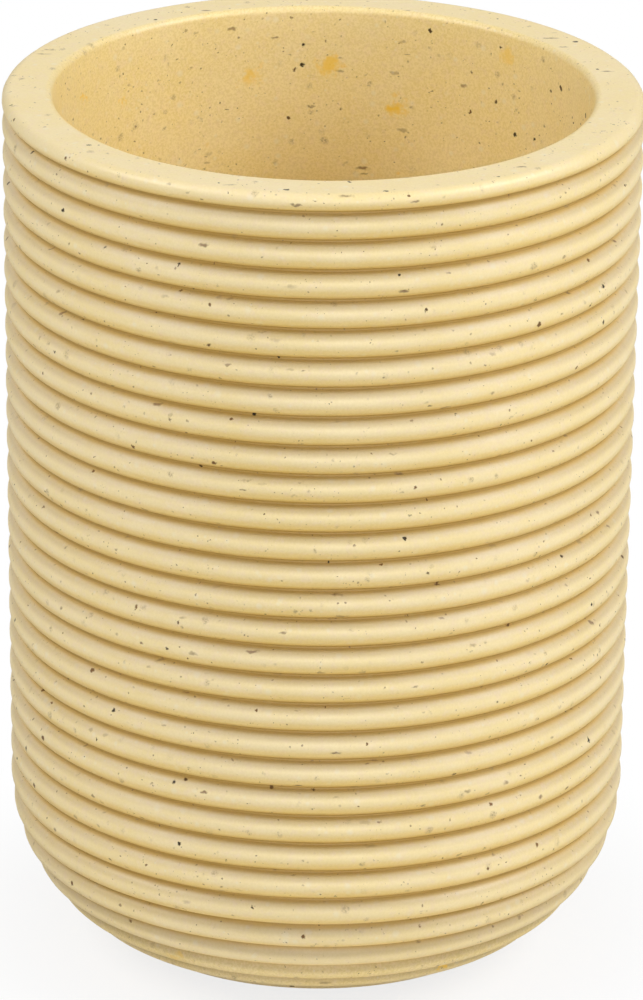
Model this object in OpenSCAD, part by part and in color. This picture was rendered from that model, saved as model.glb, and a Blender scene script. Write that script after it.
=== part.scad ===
// Bathroom tumbler: one cup cast in stone resin. Ribs run round the wall and on
// round its bottom, and the cup stands on four soft pads stuck into its flat foot.
// Millimetres, +Z up. The origin is on the floor, under the middle of the cup.

/* [Cup] */
// Outer diameter at the rim, over the ribs
outer_d = 76; // [66:1:90]
// Height of the cup from its flat foot to its rim
body_h = 106.5; // [92:0.5:130]
// Slope of the wall, in degrees from upright
wall_draft = 0.5; // [0:0.1:2]
// Thickness of the wall at the rim, over the ribs
wall_t = 6; // [4.5:0.1:8]
// Thickness of the floor
floor_t = 6; // [4:0.1:10]
// Radius of the rounded bottom, over the ribs
bottom_r = 20.5; // [15:0.5:25]
// Angle that the rounded bottom turns through before it meets the foot
bottom_sweep = 77; // [65:1:86]
// Radius inside, between the wall and the floor
inner_corner_r = 13; // [5:0.5:18]
// Rounding of the rim's outer edge
rim_outer_r = 1.1; // [1.05:0.05:1.4]
// Rounding of the rim's inner edge
rim_inner_r = 0.8; // [0.3:0.1:1.5]

/* [Ribs] */
// Distance from one rib to the next, before it is evened out
rib_pitch = 3.6; // [3.3:0.02:3.7]
// Radius of a rib's crest
crest_r = 1.7; // [1.65:0.05:1.8]
// Radius of the valley between two ribs
valley_r = 0.2; // [0.15:0.05:0.4]
// Distance from the rim down to the middle of the first full rib
first_rib_drop = 4.1; // [3.7:0.05:4.2]

/* [Foot pads] */
// Diameter of a pad
pad_d = 9; // [6:0.5:11]
// Thickness of a pad
pad_t = 1.7; // [1.2:0.1:2.5]
// Rounding of a pad's lower edge
pad_edge_r = 0.5; // [0.2:0.1:0.8]
// Diameter of the circle that the pads' middles lie on
pad_circle_d = 29; // [26:0.5:31]
// Gap between a pad and the side of its recess
pad_clearance = 0.3; // [0.1:0.1:0.6]
// Depth of the recess that a pad sits in
recess_depth = 1; // [0.6:0.1:1.2]
// Thickness of the adhesive disc between a pad and its recess
adhesive_t = 0.3; // [0.1:0.1:0.5]
// Distance that the adhesive stays in from the pad's edge
adhesive_inset = 0.4; // [0.1:0.1:1]

/* [Hidden] */
$fn = 96;

resin_color = "burlywood";
pad_color = "gainsboro";
adhesive_color = "ivory";

// Room that a cut runs past the face that it opens
overrun = 1;

// Directions of the four pads, seen from above
front_right = -45;
rear_right = 45;
rear_left = 135;
front_left = -135;

// The foot is lifted off the floor by what the pads stand out of their recesses
foot_lift = pad_t + adhesive_t - recess_depth;

// The crests' middles lie on a spine: down the sloping wall, then round the bottom.
// All heights from here to the profiles are measured from the foot.
outer_r = outer_d / 2;
spine_r = bottom_r - crest_r;
turn_z = crest_r + spine_r * sin(bottom_sweep);
wall_end_z = turn_z - spine_r * sin(wall_draft);
wall_run = (body_h - wall_end_z) / cos(wall_draft);
turn_x = outer_r - crest_r - wall_run * sin(wall_draft) - spine_r * cos(wall_draft);
turn_run = spine_r * (bottom_sweep - wall_draft) * PI / 180;

// Ribs share what is left of the spine below the first one in equal steps, and the
// last one rolls into the foot
rib_steps = round((wall_run + turn_run - first_rib_drop) / rib_pitch);
rib_step = (wall_run + turn_run - first_rib_drop) / rib_steps;

// Angle below level that the spine faces at a distance below the rim
function spine_angle(run) =
    run <= wall_run ? wall_draft : wall_draft + (run - wall_run) / spine_r * 180 / PI;

// Direction that looks out of the cup at an angle below level
function outward(angle) = [cos(angle), -sin(angle)];

// Point on the spine at a distance below the rim
function spine_point(run) =
    run <= wall_run
        ? [outer_r - crest_r - run * sin(wall_draft), body_h - run * cos(wall_draft)]
        : [turn_x, turn_z] + spine_r * outward(spine_angle(run));

// Where two circles round a and b meet, on the outer side of the way down from a to b
function outer_meet(a, a_r, b, b_r) =
    let (
        gap = norm(b - a),
        along = (a_r * a_r - b_r * b_r + gap * gap) / (2 * gap),
        out = sqrt(a_r * a_r - along * along),
        way = (b - a) / gap
    )
    a + along * way + out * [-way[1], way[0]];

// The rim's bead and then every rib: the middle of its circle, the circle's radius,
// and the direction that its crest faces
rib_runs = [for (i = [0 : rib_steps]) first_rib_drop + i * rib_step];
bead_points = concat(
    [[outer_r - rim_outer_r, body_h - rim_outer_r]],
    [for (run = rib_runs) spine_point(run)]
);
bead_radii = concat([rim_outer_r], [for (run = rib_runs) crest_r]);
bead_ways = concat([outward(0)], [for (run = rib_runs) outward(spine_angle(run))]);
last_bead = len(bead_points) - 1;

// Each valley's circle touches the two beads beside it
valley_points = [
    for (i = [0 : last_bead - 1])
        outer_meet(
            bead_points[i], bead_radii[i] + valley_r,
            bead_points[i + 1], bead_radii[i + 1] + valley_r
        )
];

// How far the cuts between the ribs run out of the cup
cut_reach = bottom_r;

// Inner wall, parallel to the outer one
inner_r = outer_r - wall_t;
rim_round = [
    inner_r - rim_inner_r * tan(wall_draft) + rim_inner_r / cos(wall_draft),
    body_h - rim_inner_r
];
corner_z = floor_t + inner_corner_r;
corner = [
    inner_r - (body_h - corner_z) * tan(wall_draft) - inner_corner_r / cos(wall_draft),
    corner_z
];
wall_normal = outward(wall_draft);

// Circle of one bead
module bead_circle(i) {
    translate(bead_points[i]) circle(bead_radii[i]);
}

// What is cut away over the rim's bead, as far down as its crest
module cut_over_rim() {
    difference() {
        polygon([
            bead_points[0],
            bead_points[0] + [0, cut_reach],
            bead_points[0] + [cut_reach, cut_reach],
            bead_points[0] + [cut_reach, 0]
        ]);
        bead_circle(0);
    }
}

// What is cut away between the crests of two neighbours, down to their flanks
module cut_between(i) {
    difference() {
        polygon([
            bead_points[i],
            bead_points[i] + cut_reach * bead_ways[i],
            bead_points[i + 1] + cut_reach * bead_ways[i + 1],
            bead_points[i + 1],
            valley_points[i]
        ]);
        bead_circle(i);
        bead_circle(i + 1);
    }
}

// What is cut away past the last crest, where it rolls into the foot
module cut_under_foot() {
    difference() {
        polygon([
            bead_points[last_bead],
            bead_points[last_bead] + cut_reach * bead_ways[last_bead],
            bead_points[last_bead] - [0, cut_reach]
        ]);
        bead_circle(last_bead);
    }
}

// Solid outline of the ribbed cup, from the axis out. Every crest and every valley
// is a true arc, and they run into each other without an edge.
module ribbed_outline() {
    difference() {
        square([outer_r, body_h]);
        cut_over_rim();
        for (i = [0 : last_bead - 1]) cut_between(i);
        cut_under_foot();
        for (point = valley_points) translate(point) circle(valley_r);
    }
}

// Outline of the room inside, open at the rim
module cavity_outline() {
    difference() {
        union() {
            polygon([
                [0, floor_t],
                [corner[0], floor_t],
                corner + inner_corner_r * wall_normal,
                rim_round - rim_inner_r * wall_normal,
                rim_round,
                [rim_round[0], body_h + overrun],
                [0, body_h + overrun]
            ]);
            translate(corner) circle(inner_corner_r);
        }
        translate(rim_round) circle(rim_inner_r);
    }
}

// Puts a piece at one pad's place
module at_pad(direction) {
    rotate(direction) translate([pad_circle_d / 2, 0, 0]) children();
}

// Recess for one pad, measured from the foot
module pad_recess() {
    translate([0, 0, -overrun]) cylinder(h = recess_depth + overrun, d = pad_d + 2 * pad_clearance);
}

module tumbler_body() {
    color(resin_color) translate([0, 0, foot_lift]) difference() {
        rotate_extrude() difference() {
            ribbed_outline();
            cavity_outline();
        }
        for (direction = [front_right, rear_right, rear_left, front_left]) {
            at_pad(direction) pad_recess();
        }
    }
}

// Round pad with a softened lower edge, standing on the floor
module foot_pad(direction) {
    pad_r = pad_d / 2;
    color(pad_color) at_pad(direction) rotate_extrude() union() {
        square([pad_r - pad_edge_r, pad_t]);
        translate([0, pad_edge_r]) square([pad_r, pad_t - pad_edge_r]);
        intersection() {
            translate([pad_r - pad_edge_r, pad_edge_r]) circle(pad_edge_r);
            square([pad_r, pad_edge_r]);
        }
    }
}

// Thin disc that holds a pad to the top of its recess
module adhesive(direction) {
    color(adhesive_color) at_pad(direction) translate([0, 0, pad_t]) {
        cylinder(h = adhesive_t, d = pad_d - 2 * adhesive_inset);
    }
}

module foot_pad_front_right() {
    foot_pad(front_right);
}

module foot_pad_rear_right() {
    foot_pad(rear_right);
}

module foot_pad_rear_left() {
    foot_pad(rear_left);
}

module foot_pad_front_left() {
    foot_pad(front_left);
}

module adhesive_front_right() {
    adhesive(front_right);
}

module adhesive_rear_right() {
    adhesive(rear_right);
}

module adhesive_rear_left() {
    adhesive(rear_left);
}

module adhesive_front_left() {
    adhesive(front_left);
}

tumbler_body();
foot_pad_front_right();
foot_pad_rear_right();
foot_pad_rear_left();
foot_pad_front_left();
adhesive_front_right();
adhesive_rear_right();
adhesive_rear_left();
adhesive_front_left();
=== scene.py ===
"""Bathroom tumbler of cast stone-effect resin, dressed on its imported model.

Lengths are in metres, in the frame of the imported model: +Z up, the origin on the
floor under the middle of the cup, and the camera in front of it, towards -Y.
"""

import math
from typing import NamedTuple

import bmesh
import bpy
from bpy.props import FloatProperty, FloatVectorProperty, PointerProperty
from mathutils import Matrix, Vector, noise


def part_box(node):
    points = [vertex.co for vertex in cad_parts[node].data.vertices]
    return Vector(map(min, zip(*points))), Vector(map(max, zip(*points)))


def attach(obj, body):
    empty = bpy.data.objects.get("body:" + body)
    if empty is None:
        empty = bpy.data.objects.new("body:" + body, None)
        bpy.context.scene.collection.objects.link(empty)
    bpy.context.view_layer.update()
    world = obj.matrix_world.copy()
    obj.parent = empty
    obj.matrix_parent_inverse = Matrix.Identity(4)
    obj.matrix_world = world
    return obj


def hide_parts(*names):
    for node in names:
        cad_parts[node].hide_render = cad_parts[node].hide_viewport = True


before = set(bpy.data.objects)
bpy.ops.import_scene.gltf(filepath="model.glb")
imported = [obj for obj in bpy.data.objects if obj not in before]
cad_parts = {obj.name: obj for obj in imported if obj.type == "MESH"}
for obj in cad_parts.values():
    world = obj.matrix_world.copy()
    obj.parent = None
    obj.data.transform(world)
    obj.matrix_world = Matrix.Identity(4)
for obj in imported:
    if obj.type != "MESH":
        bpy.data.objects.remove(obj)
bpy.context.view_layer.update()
BODY_LOW, BODY_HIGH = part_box("tumbler_body")
PAD_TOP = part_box("foot_pad_front_right")[1].z

bl_info = {
    "name": "Ribbed Resin Tumbler",
    "version": (1, 0, 0),
    "blender": (4, 5, 0),
    "location": "3D View > Sidebar > Tumbler",
    "description": "Builds a ribbed bathroom tumbler of cast stone-effect resin",
    "category": "Add Mesh",
}

PAD_PLACES = ("front_right", "rear_right", "rear_left", "front_left")

# Steps of the cup's mesh: round the axis, and along each kind of arc
ROUND_STEPS = 168
CREST_STEPS = 11
VALLEY_STEPS = 5
ROUNDING_STEPS = 5
BEAD_STEPS = 7
SMALL_EDGE_STEPS = 3
PAD_EDGE_STEPS = 6
CORNER_STEPS = 14
WALL_STEPS = 26
FLOOR_STEPS = 7
PAD_STEPS = 64
RECESS_STEPS = 48

# A row of points this far inside a flat face keeps the shading of its rounded edge narrow
HOLD = 0.0002

# The mesh's own measures of painted shade: a warm painted shade on the lower sides of the ribs
# and in the creases, and a grey painted shade on their upper sides under the rib above. Each
# row is a share of the way up a rib, from the crease below it to the crease above it, and the
# measure there
WARM_SHADE = "warmth"
GREY_SHADE = "dullness"
WARM_SHADE_UP_RIB = ((0.0, 0.4), (0.1275, 0.825), (0.54, 0.0), (0.86, 0.0), (1.0, 0.466667))
GREY_SHADE_UP_RIB = ((0.0, 0.0), (0.6, 0.0), (0.82, 1.0), (1.0, 1.0))
# Painted shade in a crease: all of the warm painted shade and most of the grey; none on plain parts
VALLEY_SHADE = (1.0, 0.7)
NO_SHADE = (0.0, 0.0)

# The rim's bead keeps the painted shade that it has at this share from there up
BEAD_SHADE_TOP = 0.58

# The fine dips of the casting's skin: their length against the wide ones, and where their
# pattern is taken from. Then how deep the skin lies on the whole, and how deep each kind goes
FINE_DIP_LENGTH = 0.31
FINE_DIP_SHIFT = (7.1, 3.3, 9.7)
MEAN_DIP = 0.5
WIDE_DIP = 0.38
FINE_DIP = 0.2

# The pads: shares of the radius at which the sunk face has points, the last of them its
# edge, then those of the flat top, and the rounding of its edge against that of the face
SUNK_SHARES = (0.12, 0.3, 0.5, 0.66, 0.8)
TOP_SHARES = (0.7, 0.3)
TOP_ROUNDING = 0.3

# Each lamp's place: degrees right of the camera, degrees up, and distance. All face one height
RIGHT_LAMP = (75, 42, 1.1)
LEFT_LAMP = (-75, 45, 1.1)
FRONT_LAMP = (5, 18, 1.1)
LAMP_SIDE = 0.6
LAMP_TARGET = 0.06

# The camera's lens in millimetres, its place, and how it is turned, in degrees
SENSOR_WIDTH = 36.0
FOCAL_LENGTH = 268.36
CAMERA_PLACE = (0.0, -0.836, 0.3853)
CAMERA_PAN = -0.02
CAMERA_DIP = 21.53
CAMERA_TILT = 0.647

STUDIO_FLOOR_SIZE = 3.0

# The cup's skin is laid out flat on a square of this side: outside and inside as one
# strip, and beside it the foot, the floor inside and the tops of the recesses
SHEET = 0.296
MARGIN = 0.002
FOOT_SPOT = (0.268, 0.030)
FLOOR_SPOT = (0.268, 0.076)
RECESS_SPOTS = ((0.268, 0.106), (0.268, 0.122), (0.268, 0.138), (0.268, 0.154))


class CupSizes(bpy.types.PropertyGroup):
    """The cup's main sizes"""
    outer_diameter: FloatProperty(
        name="Outer diameter", description="Across the rim, over the ribs",
        default=BODY_HIGH.x - BODY_LOW.x, unit="LENGTH", subtype="DISTANCE")
    foot_height: FloatProperty(
        name="Foot height", description="From the floor up to the flat foot",
        default=BODY_LOW.z, unit="LENGTH", subtype="DISTANCE")
    body_height: FloatProperty(
        name="Body height", description="From the flat foot up to the rim",
        default=BODY_HIGH.z - BODY_LOW.z, unit="LENGTH", subtype="DISTANCE")
    wall_slope: FloatProperty(
        name="Wall slope", description="Slope of the wall from upright",
        default=math.radians(0.5), unit="ROTATION", subtype="ANGLE")
    wall_thickness: FloatProperty(
        name="Wall thickness", description="At the rim, over the ribs",
        default=0.006, unit="LENGTH", subtype="DISTANCE")
    floor_thickness: FloatProperty(
        name="Floor thickness", description="Between the foot and the inside",
        default=0.006, unit="LENGTH", subtype="DISTANCE")
    bottom_radius: FloatProperty(
        name="Bottom radius", description="Radius of the rounded bottom, over the ribs",
        default=0.0205, unit="LENGTH", subtype="DISTANCE")
    bottom_turn: FloatProperty(
        name="Bottom turn", description="Angle that the rounded bottom turns through",
        default=math.radians(77), unit="ROTATION", subtype="ANGLE")
    inner_corner_radius: FloatProperty(
        name="Inner corner radius", description="Between the wall and the floor inside",
        default=0.013, unit="LENGTH", subtype="DISTANCE")
    rim_outer_rounding: FloatProperty(
        name="Outer rim rounding", description="Radius of the rim's outer edge",
        default=0.0011, unit="LENGTH", subtype="DISTANCE")
    rim_inner_rounding: FloatProperty(
        name="Inner rim rounding", description="Radius of the rim's inner edge",
        default=0.0008, unit="LENGTH", subtype="DISTANCE")
    unevenness: FloatProperty(
        name="Unevenness", description="How far the casting's skin dips between its high places",
        default=0.00005, unit="LENGTH", subtype="DISTANCE")
    unevenness_length: FloatProperty(
        name="Unevenness length", description="Distance between the skin's dips",
        default=0.009, unit="LENGTH", subtype="DISTANCE")


class RibSizes(bpy.types.PropertyGroup):
    """The ribs' sizes"""
    pitch: FloatProperty(
        name="Pitch", description="From one rib to the next, before it is evened out",
        default=0.0036, unit="LENGTH", subtype="DISTANCE")
    crest_radius: FloatProperty(
        name="Crest radius", description="Radius of a rib's crest",
        default=0.0017, unit="LENGTH", subtype="DISTANCE")
    valley_radius: FloatProperty(
        name="Valley radius", description="Radius of the valley between two ribs",
        default=0.0002, unit="LENGTH", subtype="DISTANCE")
    first_drop: FloatProperty(
        name="First drop", description="From the rim down to the middle of the first full rib",
        default=0.0041, unit="LENGTH", subtype="DISTANCE")


class PadSizes(bpy.types.PropertyGroup):
    """The sizes of the soft pads and of their recesses"""
    diameter: FloatProperty(
        name="Diameter", description="Diameter of a pad",
        default=0.009, unit="LENGTH", subtype="DISTANCE")
    edge_rounding: FloatProperty(
        name="Edge rounding", description="Radius of a pad's lower edge",
        default=0.0005, unit="LENGTH", subtype="DISTANCE")
    sink: FloatProperty(
        name="Sink", description="How far the middle of a pad's face sinks in",
        default=0.00012, unit="LENGTH", subtype="DISTANCE")
    clearance: FloatProperty(
        name="Clearance", description="Gap between a pad and the side of its recess",
        default=0.0003, unit="LENGTH", subtype="DISTANCE")
    recess_depth: FloatProperty(
        name="Recess depth", description="From the foot up to the top of a recess",
        default=0.001, unit="LENGTH", subtype="DISTANCE")
    recess_rounding: FloatProperty(
        name="Recess rounding", description="Radius of the edges of a recess",
        default=0.00015, unit="LENGTH", subtype="DISTANCE")


class ResinLook(bpy.types.PropertyGroup):
    """Colours and grain of the stone-effect resin"""
    cream: FloatVectorProperty(
        name="Cream", description="Main colour of the resin",
        default=(0.96, 0.795, 0.455), size=3, subtype="COLOR", min=0, max=1)
    sand: FloatVectorProperty(
        name="Sand", description="Warmer colour in its clouds",
        default=(0.95, 0.77, 0.39), size=3, subtype="COLOR", min=0, max=1)
    blush: FloatVectorProperty(
        name="Blush", description="Pinker colour in its finest clouds",
        default=(0.95, 0.76, 0.495), size=3, subtype="COLOR", min=0, max=1)
    # Amber, ochre and grey are painted shade, laid on by the mesh's measures: amber on the lower
    # sides of the ribs and by the creases, ochre deeper in the creases, grey on the upper sides
    amber_shade: FloatVectorProperty(
        name="Amber", description="Tint of the resin on the lower sides of the ribs",
        default=(0.965, 0.87, 0.59), size=3, subtype="COLOR", min=0, max=1)
    ochre_shade: FloatVectorProperty(
        name="Ochre", description="Further tint of the resin in the creases",
        default=(0.80, 0.71, 0.44), size=3, subtype="COLOR", min=0, max=1)
    grey: FloatVectorProperty(
        name="Grey", description="Tint of the resin on the upper sides of the ribs",
        default=(0.71, 0.69, 0.68), size=3, subtype="COLOR", min=0, max=1)
    mottle: FloatVectorProperty(
        name="Mottle", description="Tint of the resin's finest mottling",
        default=(0.90, 0.88, 0.76), size=3, subtype="COLOR", min=0, max=1)
    pale_grain: FloatVectorProperty(
        name="Pale grain", description="Colour of the pale stone grains",
        default=(0.95, 0.85, 0.62), size=3, subtype="COLOR", min=0, max=1)
    black_grain: FloatVectorProperty(
        name="Black grain", description="Colour of the darkest stone grains",
        default=(0.018, 0.012, 0.008), size=3, subtype="COLOR", min=0, max=1)
    brown_grain: FloatVectorProperty(
        name="Brown grain", description="Colour of the brown stone grains",
        default=(0.18, 0.09, 0.03), size=3, subtype="COLOR", min=0, max=1)
    mauve_grain: FloatVectorProperty(
        name="Mauve grain", description="Colour of the faint grey grains under the skin",
        default=(0.36, 0.255, 0.12), size=3, subtype="COLOR", min=0, max=1)
    pigment: FloatVectorProperty(
        name="Pigment", description="Colour of the spots of unmixed pigment",
        default=(0.98, 0.62, 0.05), size=3, subtype="COLOR", min=0, max=1)


class StudioLight(bpy.types.PropertyGroup):
    """Strengths of the lamps and of the surroundings"""
    right_power: FloatProperty(
        name="Right power", description="Main lamp, high on the right",
        default=8.2, min=0, unit="POWER")
    left_power: FloatProperty(
        name="Left power", description="Lamp high on the left",
        default=6.4, min=0, unit="POWER")
    front_power: FloatProperty(
        name="Front power", description="Weak lamp beside the camera",
        default=3.6, min=0, unit="POWER")
    surroundings: FloatProperty(
        name="Surroundings", description="Light from all round",
        default=0.02, min=0)


def arc(middle, radius, start, end, steps, first=True):
    """Points on an arc in the (r, z) plane, from one angle to another."""
    points = []
    for i in range(0 if first else 1, steps + 1):
        angle = start + (end - start) * i / steps
        points.append((middle[0] + radius * math.cos(angle), middle[1] + radius * math.sin(angle)))
    return points


def heading(a, b):
    """Angle of the way from a to b."""
    return math.atan2(b[1] - a[1], b[0] - a[0])


def outer_meet(a, a_radius, b, b_radius):
    """Where two circles meet, on the outer side of the way down from a to b."""
    gap = math.hypot(b[0] - a[0], b[1] - a[1])
    along = (a_radius ** 2 - b_radius ** 2 + gap ** 2) / (2 * gap)
    out = math.sqrt(a_radius ** 2 - along ** 2)
    way = ((b[0] - a[0]) / gap, (b[1] - a[1]) / gap)
    return (a[0] + along * way[0] - out * way[1], a[1] + along * way[1] + out * way[0])


def rib_beads(cup, ribs):
    """Middle and radius of the rim's bead and of every rib, from the rim down.

    Heights are from the foot.
    """
    outer = cup.outer_diameter / 2
    slope = cup.wall_slope
    spine = cup.bottom_radius - ribs.crest_radius
    turn_z = ribs.crest_radius + spine * math.sin(cup.bottom_turn)
    wall_run = (cup.body_height - turn_z + spine * math.sin(slope)) / math.cos(slope)
    turn_x = outer - ribs.crest_radius - wall_run * math.sin(slope) - spine * math.cos(slope)
    run = wall_run + spine * (cup.bottom_turn - slope) - ribs.first_drop
    steps = round(run / ribs.pitch)
    beads = [((outer - cup.rim_outer_rounding, cup.body_height - cup.rim_outer_rounding),
              cup.rim_outer_rounding)]
    for i in range(steps + 1):
        down = ribs.first_drop + run * i / steps
        if down <= wall_run:
            place = (outer - ribs.crest_radius - down * math.sin(slope),
                     cup.body_height - down * math.cos(slope))
        else:
            turn = slope + (down - wall_run) / spine
            place = (turn_x + spine * math.cos(turn), turn_z - spine * math.sin(turn))
        beads.append((place, ribs.crest_radius))
    return beads


def level_at(rows, share):
    """The measure at a share, on straight lines between the rows."""
    for (low, start), (high, end) in zip(rows, rows[1:]):
        if share <= high:
            return start + (end - start) * (share - low) / (high - low)
    return rows[-1][1]


def rib_shade(share, crease):
    """The painted shade, warm and grey, at a share of the way up a rib.

    The rim's bead has no crease at its top.
    """
    if not crease:
        share = min(share, BEAD_SHADE_TOP)
    return (level_at(WARM_SHADE_UP_RIB, share), level_at(GREY_SHADE_UP_RIB, share))


def outer_path(cup, ribs):
    """Points from the foot's edge up over every rib to the flat of the rim, and the painted shade
    at each.
    """
    beads = rib_beads(cup, ribs)
    valleys = [outer_meet(a[0], a[1] + ribs.valley_radius, b[0], b[1] + ribs.valley_radius)
               for a, b in zip(beads, beads[1:])]
    path, shades = [], []
    for i in range(len(beads) - 1, -1, -1):
        middle, radius = beads[i]
        low = heading(middle, valleys[i]) if i < len(valleys) else -math.pi / 2
        high = heading(middle, valleys[i - 1]) if i else math.pi / 2
        steps = CREST_STEPS if i else BEAD_STEPS
        points = arc(middle, radius, low, high, steps, first=not path)
        path += points
        skipped = steps + 1 - len(points)
        shades += [rib_shade((k + skipped) / steps, i > 0) for k in range(len(points))]
        if i:
            valley = valleys[i - 1]
            start = heading(valley, middle) % (2 * math.pi)
            end = heading(valley, beads[i - 1][0]) % (2 * math.pi)
            path += arc(valley, ribs.valley_radius, start, end, VALLEY_STEPS, first=False)
            shades += [VALLEY_SHADE] * VALLEY_STEPS
    return path, shades


def inner_path(cup):
    """Points from the flat of the rim down the inside to the middle of its floor."""
    slope = cup.wall_slope
    inner = cup.outer_diameter / 2 - cup.wall_thickness
    small, large = cup.rim_inner_rounding, cup.inner_corner_radius
    rim = (inner - small * math.tan(slope) + small / math.cos(slope), cup.body_height - small)
    corner_z = cup.floor_thickness + large
    corner_r = inner - (cup.body_height - corner_z) * math.tan(slope) - large / math.cos(slope)
    corner = (corner_r, corner_z)
    path = arc(rim, small, math.pi / 2, math.pi - slope, ROUNDING_STEPS)
    top = path[-1]
    turn = arc(corner, large, -slope, -math.pi / 2, CORNER_STEPS)
    for i in range(1, WALL_STEPS):
        share = i / WALL_STEPS
        path.append((top[0] + (turn[0][0] - top[0]) * share,
                     top[1] + (turn[0][1] - top[1]) * share))
    path += turn
    for i in range(1, FLOOR_STEPS):
        path.append((corner[0] * (1 - i / FLOOR_STEPS), cup.floor_thickness))
    return path


def ring(bm, radius, height, steps, middle):
    """A level ring of vertices."""
    return [bm.verts.new((middle[0] + radius * math.cos(2 * math.pi * j / steps),
                          middle[1] + radius * math.sin(2 * math.pi * j / steps), height))
            for j in range(steps)]


def band(bm, low, high):
    """Faces between two rings."""
    count = len(low)
    return [bm.faces.new((low[j], low[(j + 1) % count], high[(j + 1) % count], high[j]))
            for j in range(count)]


def cap(bm, edge, height, middle=(0.0, 0.0)):
    """A fan of faces from a ring to its middle."""
    centre = bm.verts.new((middle[0], middle[1], height))
    return [bm.faces.new((edge[j], edge[(j + 1) % len(edge)], centre)) for j in range(len(edge))]


def lay_flat(face, layer, places):
    """Puts a face's corners at places on the flat sheet."""
    for corner, place in zip(face.loops, places):
        corner[layer].uv = (place[0] / SHEET, place[1] / SHEET)


def run_along(path):
    """Length of a path up to each of its points."""
    length = [0.0]
    for a, b in zip(path, path[1:]):
        length.append(length[-1] + math.hypot(b[0] - a[0], b[1] - a[1]))
    return length


def ring_edges(edge):
    """The edges along a ring."""
    return [next(e for e in edge[j].link_edges if edge[(j + 1) % len(edge)] in e.verts)
            for j in range(len(edge))]


def pad_middle(place):
    """Where the middle of a pad lies, seen from above."""
    low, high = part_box("foot_pad_" + place)
    return ((low.x + high.x) / 2, (low.y + high.y) / 2)


def add_foot(bm, edge, cup, pads, layer):
    """The flat foot inside its edge, with a recess for each pad."""
    foot = cup.foot_height
    round_by = pads.recess_rounding
    radius = pads.diameter / 2 + pads.clearance
    borders = ring_edges(edge)
    holes = []
    for place, spot in zip(PAD_PLACES, RECESS_SPOTS):
        middle = pad_middle(place)
        lip = arc((radius + round_by, foot + round_by),
                  round_by, -math.pi / 2, -math.pi, SMALL_EDGE_STEPS)
        inside = arc((radius - round_by, foot + pads.recess_depth - round_by),
                     round_by, 0, math.pi / 2, SMALL_EDGE_STEPS)
        rings = [ring(bm, r, z, RECESS_STEPS, middle) for r, z in lip + inside]
        length = run_along(lip + inside)
        reach = [inside[-1][0] + length[-1] - way for way in length]
        for i, (low, high) in enumerate(zip(rings, rings[1:])):
            for j, face in enumerate(band(bm, low, high)):
                lay_flat(face, layer, [
                    (spot[0] + reach[m] * math.cos(2 * math.pi * n / RECESS_STEPS),
                     spot[1] + reach[m] * math.sin(2 * math.pi * n / RECESS_STEPS))
                    for n, m in ((j, i), (j + 1, i), (j + 1, i + 1), (j, i + 1))])
        for face in cap(bm, rings[-1], foot + pads.recess_depth, middle):
            lay_flat(face, layer, [(spot[0] + v.co.x - middle[0], spot[1] + v.co.y - middle[1])
                                   for v in face.verts])
        holes += ring_edges(rings[0])
    filled = bmesh.ops.triangle_fill(
        bm, use_beauty=True, use_dissolve=False, edges=borders + holes, normal=(0, 0, -1))
    flat = [f for f in filled["geom"] if isinstance(f, bmesh.types.BMFace)]
    if not flat:
        raise RuntimeError("the foot could not be filled")
    for face in flat:
        lay_flat(face, layer, [(FOOT_SPOT[0] + c.vert.co.x, FOOT_SPOT[1] + c.vert.co.y)
                               for c in face.loops])
    for e in borders + holes:
        e.smooth = False


def dent(point, normal, cup):
    """Moves a point into the casting by its skin's unevenness there."""
    coarse = noise.noise(point / cup.unevenness_length)
    fine_place = point / (cup.unevenness_length * FINE_DIP_LENGTH) + Vector(FINE_DIP_SHIFT)
    fine = noise.noise(fine_place)
    depth = MEAN_DIP + WIDE_DIP * coarse + FINE_DIP * fine
    return point - normal * cup.unevenness * min(max(depth, 0), 1)


def make_piece(name, bm, material):
    """An object of the scene from a mesh in the making."""
    mesh = bpy.data.meshes.new(name)
    bm.to_mesh(mesh)
    bm.free()
    mesh.materials.append(material)
    piece = bpy.data.objects.new(name, mesh)
    bpy.context.scene.collection.objects.link(piece)
    return piece


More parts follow.
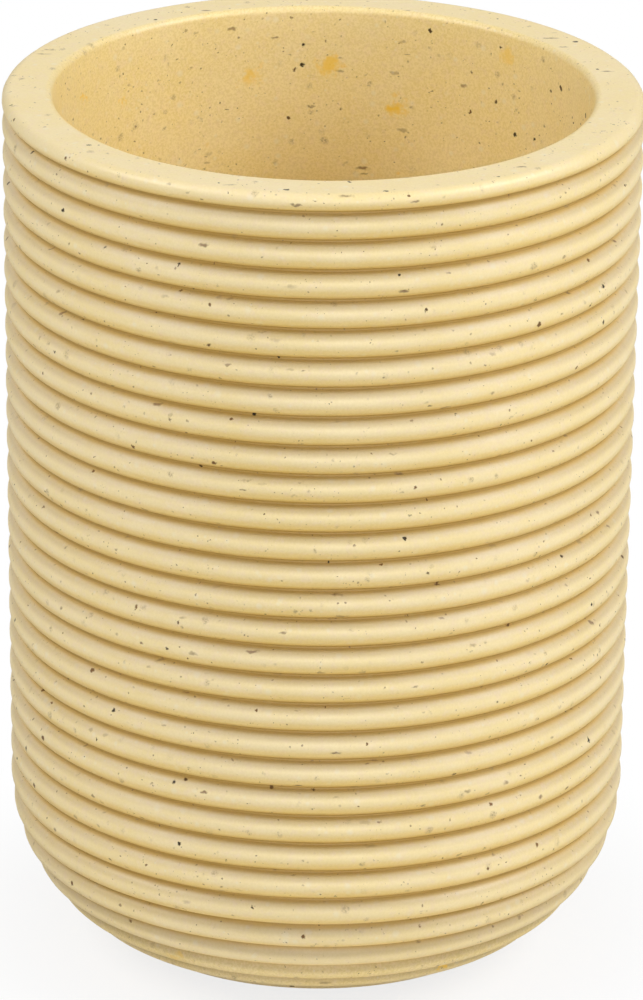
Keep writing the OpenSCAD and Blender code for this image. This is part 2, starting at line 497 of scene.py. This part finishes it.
def build_cup(cup, ribs, pads, material):
    """The cast cup: one closed skin turned round the axis, with its skin's slight unevenness and
    the painted shade of its ribs on its vertices.
    """
    path, shades = outer_path(cup, ribs)
    inside = inner_path(cup)
    hold_out = (path[-1][0] - HOLD, path[-1][1])
    hold_in = (inside[0][0] + HOLD, inside[0][1])
    path += [hold_out, hold_in] + inside
    path = [(r, z + cup.foot_height) for r, z in path]
    shades += [NO_SHADE] * (len(path) - len(shades))
    bm = bmesh.new()
    layer = bm.loops.layers.uv.new("OFBake")
    # Layers that carry the ribs' painted shade to the material
    warm_shade_layer, grey_shade_layer = (bm.verts.layers.float.new(name) for name in (WARM_SHADE, GREY_SHADE))
    rings = []
    for i, (r, z) in enumerate(path):
        before, after = path[max(i - 1, 0)], path[min(i + 1, len(path) - 1)]
        way = heading(before, after)
        out, up = math.sin(way), -math.cos(way)
        still = z - cup.foot_height < HOLD
        row = []
        for j in range(ROUND_STEPS):
            turn = 2 * math.pi * j / ROUND_STEPS
            point = Vector((r * math.cos(turn), r * math.sin(turn), z))
            normal = Vector((out * math.cos(turn), out * math.sin(turn), up))
            row.append(bm.verts.new(point if still else dent(point, normal, cup)))
            row[-1][warm_shade_layer], row[-1][grey_shade_layer] = shades[i]
        rings.append(row)
    girth = math.pi * cup.outer_diameter / ROUND_STEPS
    length = run_along(path)
    for i, (low, high) in enumerate(zip(rings, rings[1:])):
        for j, face in enumerate(band(bm, low, high)):
            lay_flat(face, layer, [(MARGIN + girth * n, MARGIN + length[m])
                                   for n, m in ((j, i), (j + 1, i), (j + 1, i + 1), (j, i + 1))])
    for face in cap(bm, rings[-1], cup.foot_height + cup.floor_thickness):
        lay_flat(face, layer, [(FLOOR_SPOT[0] + v.co.x, FLOOR_SPOT[1] + v.co.y)
                               for v in face.verts])
    add_foot(bm, rings[0], cup, pads, layer)
    for face in bm.faces:
        face.smooth = True
    bmesh.ops.recalc_face_normals(bm, faces=bm.faces[:])
    return make_piece("cast_cup", bm, material)


def build_pad(place, pads, material):
    """A soft pad with a rounded lower edge and a sunk middle."""
    middle = pad_middle(place)
    radius = pads.diameter / 2
    edge = pads.edge_rounding
    top = PAD_TOP
    bm = bmesh.new()
    upper_edge = edge * TOP_ROUNDING
    sink = [(radius * share, pads.sink * (1 - (share / SUNK_SHARES[-1]) ** 2) ** 2)
            for share in SUNK_SHARES]
    side = arc((radius - edge, edge), edge, -math.pi / 2, 0, PAD_EDGE_STEPS)
    upper = arc((radius - upper_edge, top - upper_edge),
                upper_edge, 0, math.pi / 2, SMALL_EDGE_STEPS)
    flat = [(radius * share, top) for share in TOP_SHARES]
    rings = [ring(bm, r, z, PAD_STEPS, middle) for r, z in sink + side + upper + flat]
    for low, high in zip(rings, rings[1:]):
        band(bm, low, high)
    cap(bm, rings[-1], top, middle)
    centre = bm.verts.new((middle[0], middle[1], pads.sink))
    for j in range(PAD_STEPS):
        bm.faces.new((rings[0][(j + 1) % PAD_STEPS], rings[0][j], centre))
    for face in bm.faces:
        face.smooth = True
    bmesh.ops.recalc_face_normals(bm, faces=bm.faces[:])
    return make_piece("soft_pad_" + place, bm, material)


class Cloud(NamedTuple):
    """A kind of cloud: the length of its features, and where its pattern is taken from."""
    length: float
    detail: float = 2.0
    roughness: float = 0.5
    shift: tuple = ()


class Grain(NamedTuple):
    """A kind of grain, at most one to a cell, and how strong the weakest and strongest are."""
    cell: float
    smallest: float
    largest: float
    softness: float
    share: float = 1.0
    shift: tuple = ()
    strength: tuple = (0.0, 1.0)


# A Mix node's share and its two colours, and the colour that it gives, by number
MIX_SOCKETS = (0, 6, 7)
MIX_RESULT = 2

WHITE = (1.0, 1.0, 1.0)

# The higher this power, the fewer of the grains are large
GROWTH_POWER = 2.0


class Recipe:
    """A material or a world in the making: adds nodes and wires them in one go."""

    def __init__(self, owner):
        owner.use_nodes = True
        self.owner = owner
        self.tree = owner.node_tree
        self.tree.nodes.clear()

    def feed(self, socket, value):
        """Wires an output to a socket, or sets its value. A colour may leave out its alpha."""
        if isinstance(value, bpy.types.NodeSocket):
            self.tree.links.new(value, socket)
        elif hasattr(value, "__len__"):
            missing = len(socket.default_value) - len(value)
            socket.default_value = tuple(value) + (1.0,) * missing
        else:
            socket.default_value = value

    def put(self, kind, settings=None, **sockets):
        """A node of a kind, with its settings made and its sockets filled by name."""
        node = self.tree.nodes.new(kind)
        for key, value in (settings or {}).items():
            setattr(node, key, value)
        for key, value in sockets.items():
            self.feed(node.inputs[key.replace("_", " ")], value)
        return node

    def line_up(self, kind, *entries, **settings):
        """A node of a kind, with its settings made and its sockets filled in their order."""
        node = self.put(kind, settings)
        for socket, entry in zip(node.inputs, entries):
            self.feed(socket, entry)
        return node

    def sum(self, operation, a, b):
        """Works out one number from two."""
        return self.line_up("ShaderNodeMath", a, b, operation=operation).outputs[0]

    def span(self, value, low, high, to_low=0.0, to_high=1.0, smooth=True):
        """Maps a value from one span to another."""
        way = "SMOOTHSTEP" if smooth else "LINEAR"
        return self.line_up("ShaderNodeMapRange", value, low, high, to_low, to_high,
                            interpolation_type=way).outputs[0]

    def blend(self, share, a, b):
        """Mixes two colours."""
        node = self.put("ShaderNodeMix", {"data_type": "RGBA"})
        for index, entry in zip(MIX_SOCKETS, (share, a, b)):
            self.feed(node.inputs[index], entry)
        return node.outputs[MIX_RESULT]

    def times(self, a, b):
        """Multiplies two colours."""
        return self.line_up("ShaderNodeVectorMath", a, b, operation="MULTIPLY").outputs[0]

    def far(self, place):
        """How far a place is from the origin."""
        node = self.line_up("ShaderNodeVectorMath", place, operation="LENGTH")
        return node.outputs["Value"]

    def here(self):
        """The place on the piece."""
        return self.put("ShaderNodeTexCoord").outputs["Object"]

    def shifted(self, place, offset, stretch=(1, 1, 1), turn=(0, 0, 0)):
        """The same place, moved, turned and stretched."""
        return self.put("ShaderNodeMapping", Vector=place, Location=offset,
                        Rotation=turn, Scale=stretch).outputs[0]

    def noise_node(self, place, kind):
        """The node for a kind of cloud."""
        if kind.shift:
            place = self.shifted(place, kind.shift)
        return self.put("ShaderNodeTexNoise", Vector=place, Scale=1 / kind.length,
                        Detail=kind.detail, Roughness=kind.roughness)

    def cloud(self, place, kind):
        """How dense a kind of cloud is at a place."""
        return self.noise_node(place, kind).outputs[0]

    def stirred(self, start, place, kind, reach):
        """A start, moved by a cloud at a place, by up to a reach along each axis."""
        moves = self.noise_node(place, kind).outputs["Color"]
        return self.line_up("ShaderNodeVectorMath", moves, (reach, reach, reach), start,
                            operation="MULTIPLY_ADD").outputs[0]

    def attribute(self, name):
        """One of the mesh's own measures."""
        return self.put("ShaderNodeAttribute", {"attribute_name": name}).outputs["Fac"]

    def grains(self, place, kind, share=None):
        """Where grains are cut by the skin, and a random tone for each.

        The share of the cells with a grain is the kind's own, or an output that varies it.
        """
        if kind.shift:
            place = self.shifted(place, kind.shift)
        cells = self.put("ShaderNodeTexVoronoi", Vector=place, Scale=1 / kind.cell)
        lot, size, tone = self.put("ShaderNodeSeparateColor", Color=cells.outputs["Color"]).outputs
        chosen = self.sum("LESS_THAN", lot, kind.share if share is None else share)
        growth = self.sum("POWER", size, GROWTH_POWER)
        radius = self.span(growth, 0.0, 1.0, kind.smallest / kind.cell, kind.largest / kind.cell,
                           smooth=False)
        rest = self.sum("DIVIDE", cells.outputs["Distance"], radius)
        inside = self.span(rest, 1.0 - kind.softness, 1.0 + kind.softness, 1.0, 0.0)
        return self.sum("MULTIPLY", inside, chosen), tone

    def strewn(self, base, where, tone, kind, colour):
        """A base with grains on it, each as strong as its tone says."""
        strength = self.sum("MULTIPLY", where, self.span(tone, 0, 1, *kind.strength))
        return self.blend(strength, base, colour)

    def finish(self, shader):
        """Sends the shader out."""
        kind = "World" if isinstance(self.owner, bpy.types.World) else "Material"
        out = self.tree.nodes.new("ShaderNodeOutput" + kind)
        self.tree.links.new(shader.outputs[0], out.inputs["Surface"])
        return self.owner


# The resin's clouds, then those that crowd, cluster and crumble its grains
WIDE = Cloud(0.016)
WIDE_WEIGHT = 0.5
MIDDLING = Cloud(0.004, detail=3.0, shift=(3.1, 1.7, 0.4))
MIDDLING_WEIGHT = 0.5
FINE = Cloud(0.0009, detail=3.0, roughness=0.65, shift=(5.2, 2.9, 8.3))
MOTTLE = Cloud(0.0003, roughness=0.7, shift=(9.4, 0.8, 6.6))
CROWDS = Cloud(0.011, shift=(1.3, 6.1, 4.9))
CLUSTERS = Cloud(0.0026, shift=(8.2, 3.7, 1.8))
CRUMBS = Cloud(0.00022, shift=(7.7, 2.2, 3.6))

# Clouds that make the grains ragged, and how far each moves a place
TEAR, TEAR_REACH = Cloud(0.0006, detail=1.0), 0.0005
FRAY, FRAY_REACH = Cloud(0.00028, roughness=0.7), 0.00042
SMEAR, SMEAR_REACH = Cloud(0.0014, roughness=0.6), 0.0036

# The resin's grains. A veil lies under the skin, and flakes show as short strokes
CHALK = Grain(0.0012, 0.00012, 0.0004, 0.6, share=0.4, shift=(0.9, 4.4, 2.2))
VEIL = Grain(0.0019, 0.00012, 0.00046, 0.6, strength=(0.15, 0.75))
PEPPER = Grain(0.0009, 0.00004, 0.00015, 0.5, shift=(2.4, 8.1, 5.3), strength=(0.15, 0.8))
DUST = Grain(0.00046, 0.00004, 0.00011, 0.4, shift=(5.6, 0.7, 9.1), strength=(0.3, 0.85))
FLAKE = Grain(0.0018, 0.00008, 0.00024, 0.5, share=0.38, strength=(0.25, 0.85))
DARK = Grain(0.0025, 0.00008, 0.00031, 0.3, share=0.78, shift=(4.0, 0.3, 7.7))
PIGMENT = Grain(0.0075, 0.0007, 0.0017, 0.5, share=0.5, shift=(6.3, 5.5, 2.1),
                strength=(0.45, 0.95))
CHALK_STRENGTH = 0.45
DARK_STRENGTH = 0.97

# How the flakes' pattern is stretched, and its shift and turn for each way that they lie
FLAKE_STRETCH = (0.28, 1.0, 1.0)
FLAKE_LAYS = (
    ((0.0, 1.1, 0.0), (0.2, 0.1, 0.0)),
    ((2.7, 1.1, 0.6), (0.1, 0.3, 1.4)),
    ((5.4, 1.1, 1.2), (0.9, 0.4, 0.7)),
)

# Spans of a measure, and of what it gives where that is not 0 to 1
SAND_SPAN = (0.36, 0.64)
BLUSH_SPAN = (0.45, 0.75, 0.0, 0.7)
MOTTLE_SPAN = (0.36, 0.64)
# Where the amber and then the ochre painted shade come in along the warm painted shade
AMBER_SHADE_SPAN = (0.0, 0.45)
OCHRE_SHADE_SPAN = (0.45, 1.0)
BROWN_SPAN = (0.25, 0.65)
CRUMB_SPAN = (0.42, 0.58)
CROWD_SPAN = (0.42, 0.68, 0.12, 0.95)
CLUSTER_SPAN = (0.56, 0.64, 0.0, 0.9)
SHEEN_SPAN = (0.3, 0.7, 0.42, 0.50)

# Least and most of what a measure from 0 to 1 gives
MOTTLE_OUT_AND_IN = (0.35, 1.0)
VEIL_CROWDING = (0.3, 1.0)
VEIL_CRUMBLING = (0.35, 1.0)
PEPPER_CROWDING = (0.45, 1.0)
SPECULAR_OFF_AND_ON_GRAIN = (0.7, 0.15)

# The inside is nearer to the axis than this, and above this height. It is painted a little brighter
# and yellower, as painted light bounced round inside the cup
INSIDE_REACH = (0.0325, 0.033, 1.0, 0.0)
INSIDE_HEIGHT = (0.004, 0.005)
INSIDE_PAINTED_BOUNCE = (1.04, 1.025, 0.94)

# How the dark grains dip against the finest clouds, and the depth of it all
DARK_RELIEF = -0.6
RESIN_BUMP = {"Strength": 0.35, "Distance": 0.00004}


def inside_share(recipe, place):
    """1 on the inside of the cup, and 0 outside."""
    reach = recipe.far(recipe.times(place, (1.0, 1.0, 0.0)))
    height = recipe.put("ShaderNodeSeparateXYZ", Vector=place).outputs["Z"]
    return recipe.sum("MULTIPLY", recipe.span(reach, *INSIDE_REACH),
                      recipe.span(height, *INSIDE_HEIGHT))


def resin_base(recipe, look, place, fine, inside):
    """The resin's colour: clouds, mottling and chalk, with painted shade on the sides of the ribs
    and painted bounce light inside.
    """
    wide = recipe.sum("MULTIPLY", recipe.cloud(place, WIDE), WIDE_WEIGHT)
    middling = recipe.sum("MULTIPLY", recipe.cloud(place, MIDDLING), MIDDLING_WEIGHT)
    clouds = recipe.sum("ADD", wide, middling)
    base = recipe.blend(recipe.span(clouds, *SAND_SPAN), look.cream, look.sand)
    base = recipe.blend(recipe.span(fine, *BLUSH_SPAN), base, look.blush)
    mottle = recipe.sum("MULTIPLY", recipe.span(recipe.cloud(place, MOTTLE), *MOTTLE_SPAN),
                        recipe.span(inside, 0, 1, *MOTTLE_OUT_AND_IN))
    base = recipe.times(base, recipe.blend(mottle, WHITE, look.mottle))
    # Painted light: the inside is painted brighter and yellower for the light bounced round in it
    base = recipe.times(base, recipe.blend(inside, WHITE, INSIDE_PAINTED_BOUNCE))
    chalk, _ = recipe.grains(place, CHALK)
    base = recipe.blend(recipe.sum("MULTIPLY", chalk, CHALK_STRENGTH), base, look.pale_grain)
    # Painted shade on the ribs: warm on the lower sides and in the creases, grey on the upper sides
    warmth, dullness = recipe.attribute(WARM_SHADE), recipe.attribute(GREY_SHADE)
    for share, tint in ((recipe.span(warmth, *AMBER_SHADE_SPAN), look.amber_shade),
                        (recipe.span(warmth, *OCHRE_SHADE_SPAN), look.ochre_shade),
                        (recipe.span(dullness, 0, 1), look.grey)):
        base = recipe.blend(share, base, recipe.times(base, tint))
    return base


def resin_material(look):
    """Cream stone-effect resin, coloured through, with stone grains of several kinds."""
    recipe = Recipe(bpy.data.materials.new("stone_resin"))
    place = recipe.here()
    torn = recipe.stirred(place, place, TEAR, TEAR_REACH)
    frayed = recipe.stirred(torn, place, FRAY, FRAY_REACH)
    fine = recipe.cloud(place, FINE)
    inside = inside_share(recipe, place)
    base = resin_base(recipe, look, place, fine, inside)

    # Faint grains under the skin and small brown ones, crowded in some places
    crowd = recipe.span(recipe.cloud(place, CROWDS), *CROWD_SPAN)
    crumbs = recipe.span(recipe.cloud(place, CRUMBS), *CRUMB_SPAN)
    veil, tone = recipe.grains(frayed, VEIL, recipe.span(crowd, 0, 1, *VEIL_CROWDING))
    veil = recipe.sum("MULTIPLY", veil, recipe.span(crumbs, 0, 1, *VEIL_CRUMBLING))
    base = recipe.strewn(base, veil, tone, VEIL, look.mauve_grain)
    pepper, tone = recipe.grains(torn, PEPPER, recipe.span(crowd, 0, 1, *PEPPER_CROWDING))
    base = recipe.strewn(base, pepper, tone, PEPPER, look.brown_grain)

    # Dust in small clusters
    cluster = recipe.span(recipe.cloud(place, CLUSTERS), *CLUSTER_SPAN)
    dust, tone = recipe.grains(torn, DUST, cluster)
    base = recipe.strewn(base, dust, tone, DUST, look.brown_grain)

    for shift, turn in FLAKE_LAYS:
        flake, tone = recipe.grains(recipe.shifted(torn, shift, FLAKE_STRETCH, turn), FLAKE)
        base = recipe.strewn(base, flake, tone, FLAKE, look.brown_grain)

    # Black and brown grains, sharp at the skin
    dark, tone = recipe.grains(frayed, DARK)
    colour = recipe.blend(recipe.span(tone, *BROWN_SPAN), look.black_grain, look.brown_grain)
    base = recipe.blend(recipe.sum("MULTIPLY", dark, DARK_STRENGTH), base, colour)

    # A few spots of pigment that was not mixed in, on the inside alone
    spot, tone = recipe.grains(recipe.stirred(place, place, SMEAR, SMEAR_REACH), PIGMENT)
    base = recipe.strewn(base, recipe.sum("MULTIPLY", spot, inside), tone, PIGMENT, look.pigment)

    relief = recipe.sum("ADD", fine, recipe.sum("MULTIPLY", dark, DARK_RELIEF))
    bump = recipe.put("ShaderNodeBump", Height=relief, **RESIN_BUMP)
    return recipe.finish(recipe.put(
        "ShaderNodeBsdfPrincipled", Base_Color=base, Normal=bump.outputs[0],
        Roughness=recipe.span(fine, *SHEEN_SPAN), IOR=1.5,
        Specular_IOR_Level=recipe.span(dark, 0, 1, *SPECULAR_OFF_AND_ON_GRAIN)))


# The pads' soft elastomer: its haze between two greys, and the dust in its skin
HAZE = Cloud(0.0022, detail=3.0)
HAZE_SPAN = (0.35, 0.65)
HAZE_GREYS = ((0.60, 0.59, 0.55), (0.70, 0.69, 0.64))
SKIN_DUST = Cloud(0.0003, shift=(1.0, 2.0, 3.0))
SKIN_DUST_SPAN = (0.62, 0.72, 0.0, 0.4)
SKIN_DUST_GREY = (0.42, 0.40, 0.36)
PAD_SHEEN_SPAN = (0.3, 0.7, 0.5, 0.65)
PAD_BUMP = {"Strength": 0.3, "Distance": 0.00003}
PAD_GLOW = {"Subsurface_Weight": 0.5, "Subsurface_Radius": (1.0, 0.95, 0.85),
            "Subsurface_Scale": 0.001}


def pad_material():
    """Soft, cloudy elastomer with dust in its skin."""
    recipe = Recipe(bpy.data.materials.new("soft_elastomer"))
    place = recipe.here()
    haze = recipe.cloud(place, HAZE)
    dust = recipe.cloud(place, SKIN_DUST)
    base = recipe.blend(recipe.span(haze, *HAZE_SPAN), *HAZE_GREYS)
    base = recipe.blend(recipe.span(dust, *SKIN_DUST_SPAN), base, SKIN_DUST_GREY)
    bump = recipe.put("ShaderNodeBump", Height=dust, **PAD_BUMP)
    return recipe.finish(recipe.put(
        "ShaderNodeBsdfPrincipled", Base_Color=base, Normal=bump.outputs[0],
        Roughness=recipe.span(dust, *PAD_SHEEN_SPAN), IOR=1.45, **PAD_GLOW))


# The adhesive's slow flow between two yellows, and its bubbles
FLOW = Cloud(0.0015)
FLOW_SPAN = (0.35, 0.65)
FLOW_YELLOWS = ((0.72, 0.67, 0.52), (0.66, 0.60, 0.44))
BUBBLE = Grain(0.0006, 0.00004, 0.00012, 0.3, share=0.5)
BUBBLE_STRENGTH = 0.5
BUBBLE_WHITE = (0.86, 0.84, 0.78)
FILM_SHEEN_SPAN = (0.3, 0.7, 0.25, 0.4)


def adhesive_material():
    """Acrylic film, slightly yellow, with fine bubbles."""
    recipe = Recipe(bpy.data.materials.new("acrylic_adhesive"))
    place = recipe.here()
    flow = recipe.cloud(place, FLOW)
    bubble, _ = recipe.grains(place, BUBBLE)
    base = recipe.blend(recipe.span(flow, *FLOW_SPAN), *FLOW_YELLOWS)
    base = recipe.blend(recipe.sum("MULTIPLY", bubble, BUBBLE_STRENGTH), base, BUBBLE_WHITE)
    return recipe.finish(recipe.put(
        "ShaderNodeBsdfPrincipled", Base_Color=base,
        Roughness=recipe.span(flow, *FILM_SHEEN_SPAN), IOR=1.47))


# The floor's whites for the light, its white to the camera, and how its glow to the
# camera grows with the distance from the middle
TOOTH = Cloud(0.004)
TOOTH_SPAN = (0.3, 0.7)
TOOTH_WHITES = ((0.82, 0.82, 0.82), (0.84, 0.84, 0.84))
SEEN_WHITE = (0.96, 0.96, 0.96)
GLOW_SPAN = (0.02, 0.06, 0.8, 1.0)


def floor_material():
    """Pale matt floor that keeps a soft shadow and is white to the camera elsewhere."""
    recipe = Recipe(bpy.data.materials.new("pale_floor"))
    place = recipe.here()
    by_camera = recipe.put("ShaderNodeLightPath").outputs["Is Camera Ray"]
    base = recipe.blend(recipe.span(recipe.cloud(place, TOOTH), *TOOTH_SPAN), *TOOTH_WHITES)
    base = recipe.blend(by_camera, base, SEEN_WHITE)
    matt = recipe.put("ShaderNodeBsdfDiffuse", Color=base)
    white = recipe.put("ShaderNodeEmission", Color=WHITE, Strength=1.0)
    glow = recipe.sum("MULTIPLY", by_camera, recipe.span(recipe.far(place), *GLOW_SPAN))
    return recipe.finish(recipe.line_up(
        "ShaderNodeMixShader", glow, matt.outputs[0], white.outputs[0]))


def white_surroundings(strength):
    """Even light from all round, white wherever it is seen."""
    world = bpy.data.worlds.new("studio")
    recipe = Recipe(world)
    rays = recipe.put("ShaderNodeLightPath").outputs
    seen = rays["Is Camera Ray"]
    for kind in ("Is Glossy Ray", "Is Transmission Ray"):
        seen = recipe.sum("MAXIMUM", seen, rays[kind])
    level = recipe.span(seen, 0, 1, strength, 1.0, smooth=False)
    recipe.finish(recipe.put("ShaderNodeBackground", Color=WHITE, Strength=level))
    bpy.context.scene.world = world


def add_lamp(name, place, power):
    """A square soft lamp that faces the cup."""
    azimuth, elevation, distance = math.radians(place[0]), math.radians(place[1]), place[2]
    way = Vector((math.sin(azimuth) * math.cos(elevation), -math.cos(azimuth) * math.cos(elevation),
                  math.sin(elevation)))
    lamp = bpy.data.lights.new(name, "AREA")
    lamp.shape = "SQUARE"
    lamp.size = LAMP_SIDE
    lamp.energy = power
    stand = bpy.data.objects.new(name, lamp)
    stand.location = way * distance + Vector((0, 0, LAMP_TARGET))
    stand.rotation_euler = way.to_track_quat("Z", "Y").to_euler()
    bpy.context.scene.collection.objects.link(stand)


def add_camera():
    """The photograph's view: a long lens that looks down on the rim, tilted a little sideways."""
    lens = bpy.data.cameras.new("photo_camera")
    lens.sensor_width = SENSOR_WIDTH
    lens.lens = FOCAL_LENGTH
    camera = bpy.data.objects.new("photo_camera", lens)
    aim = (Matrix.Rotation(math.radians(CAMERA_PAN), 4, "Z")
           @ Matrix.Rotation(math.radians(90 - CAMERA_DIP), 4, "X")
           @ Matrix.Rotation(math.radians(CAMERA_TILT), 4, "Z"))
    camera.matrix_world = Matrix.Translation(CAMERA_PLACE) @ aim
    bpy.context.scene.collection.objects.link(camera)
    bpy.context.scene.camera = camera


class TUMBLER_OT_cast_cup(bpy.types.Operator):
    """Build the ribbed cup with its flat foot and pad recesses"""
    bl_idname = "tumbler.cast_cup"
    bl_label = "Cast Cup"

    def execute(self, context):
        scene = context.scene
        material = resin_material(scene.tumbler_resin)
        cup = build_cup(scene.tumbler_cup, scene.tumbler_ribs, scene.tumbler_pads, material)
        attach(cup, "root")
        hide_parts("tumbler_body")
        return {"FINISHED"}


class TUMBLER_OT_soft_pads(bpy.types.Operator):
    """Build the four soft pads under the foot"""
    bl_idname = "tumbler.soft_pads"
    bl_label = "Soft Pads"

    def execute(self, context):
        material = pad_material()
        for place in PAD_PLACES:
            pad = build_pad(place, context.scene.tumbler_pads, material)
            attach(pad, "root")
            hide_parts("foot_pad_" + place)
        return {"FINISHED"}


class TUMBLER_OT_adhesive_discs(bpy.types.Operator):
    """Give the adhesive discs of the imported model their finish"""
    bl_idname = "tumbler.adhesive_discs"
    bl_label = "Adhesive Discs"

    def execute(self, context):
        material = adhesive_material()
        for place in PAD_PLACES:
            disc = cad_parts["adhesive_" + place]
            if not disc.material_slots:
                disc.data.materials.append(material)
            for slot in disc.material_slots:
                slot.material = material
        return {"FINISHED"}


class TUMBLER_OT_studio(bpy.types.Operator):
    """Set up the floor, the lamps, the surroundings and the camera"""
    bl_idname = "tumbler.studio"
    bl_label = "Studio"

    def execute(self, context):
        light = context.scene.tumbler_light
        bm = bmesh.new()
        bmesh.ops.create_grid(bm, x_segments=1, y_segments=1, size=STUDIO_FLOOR_SIZE)
        floor = make_piece("studio_floor", bm, floor_material())
        white_surroundings(light.surroundings)
        add_lamp("right_lamp", RIGHT_LAMP, light.right_power)
        add_lamp("left_lamp", LEFT_LAMP, light.left_power)
        add_lamp("front_lamp", FRONT_LAMP, light.front_power)
        add_camera()
        context.scene.view_settings.view_transform = "Standard"
        context.view_layer.update()
        return {"FINISHED"}


class TUMBLER_PT_pieces(bpy.types.Panel):
    """Lists the steps that build the tumbler"""
    bl_label = "Ribbed Resin Tumbler"
    bl_space_type = "VIEW_3D"
    bl_region_type = "UI"
    bl_category = "Tumbler"

    def draw(self, context):
        scene = context.scene
        for step in STEPS:
            self.layout.operator(step.bl_idname)
        for group in (scene.tumbler_cup, scene.tumbler_ribs, scene.tumbler_pads,
                      scene.tumbler_resin, scene.tumbler_light):
            box = self.layout.box()
            for key in group.__annotations__:
                box.prop(group, key)


STEPS = (TUMBLER_OT_cast_cup, TUMBLER_OT_soft_pads, TUMBLER_OT_adhesive_discs, TUMBLER_OT_studio)
GROUPS = {
    "tumbler_cup": CupSizes,
    "tumbler_ribs": RibSizes,
    "tumbler_pads": PadSizes,
    "tumbler_resin": ResinLook,
    "tumbler_light": StudioLight,
}


def register():
    """Make the tumbler's settings, steps and panel known."""
    for kind in (*GROUPS.values(), *STEPS, TUMBLER_PT_pieces):
        bpy.utils.register_class(kind)
    for key, group in GROUPS.items():
        setattr(bpy.types.Scene, key, PointerProperty(type=group))


def unregister():
    """Take them away again."""
    for key in GROUPS:
        delattr(bpy.types.Scene, key)
    for kind in (TUMBLER_PT_pieces, *reversed(STEPS), *reversed(GROUPS.values())):
        bpy.utils.unregister_class(kind)


def main():
    """Build the tumbler and its studio."""
    register()
    bpy.ops.tumbler.cast_cup()
    bpy.ops.tumbler.soft_pads()
    bpy.ops.tumbler.adhesive_discs()
    bpy.ops.tumbler.studio()


if __name__ == "__main__":
    main()
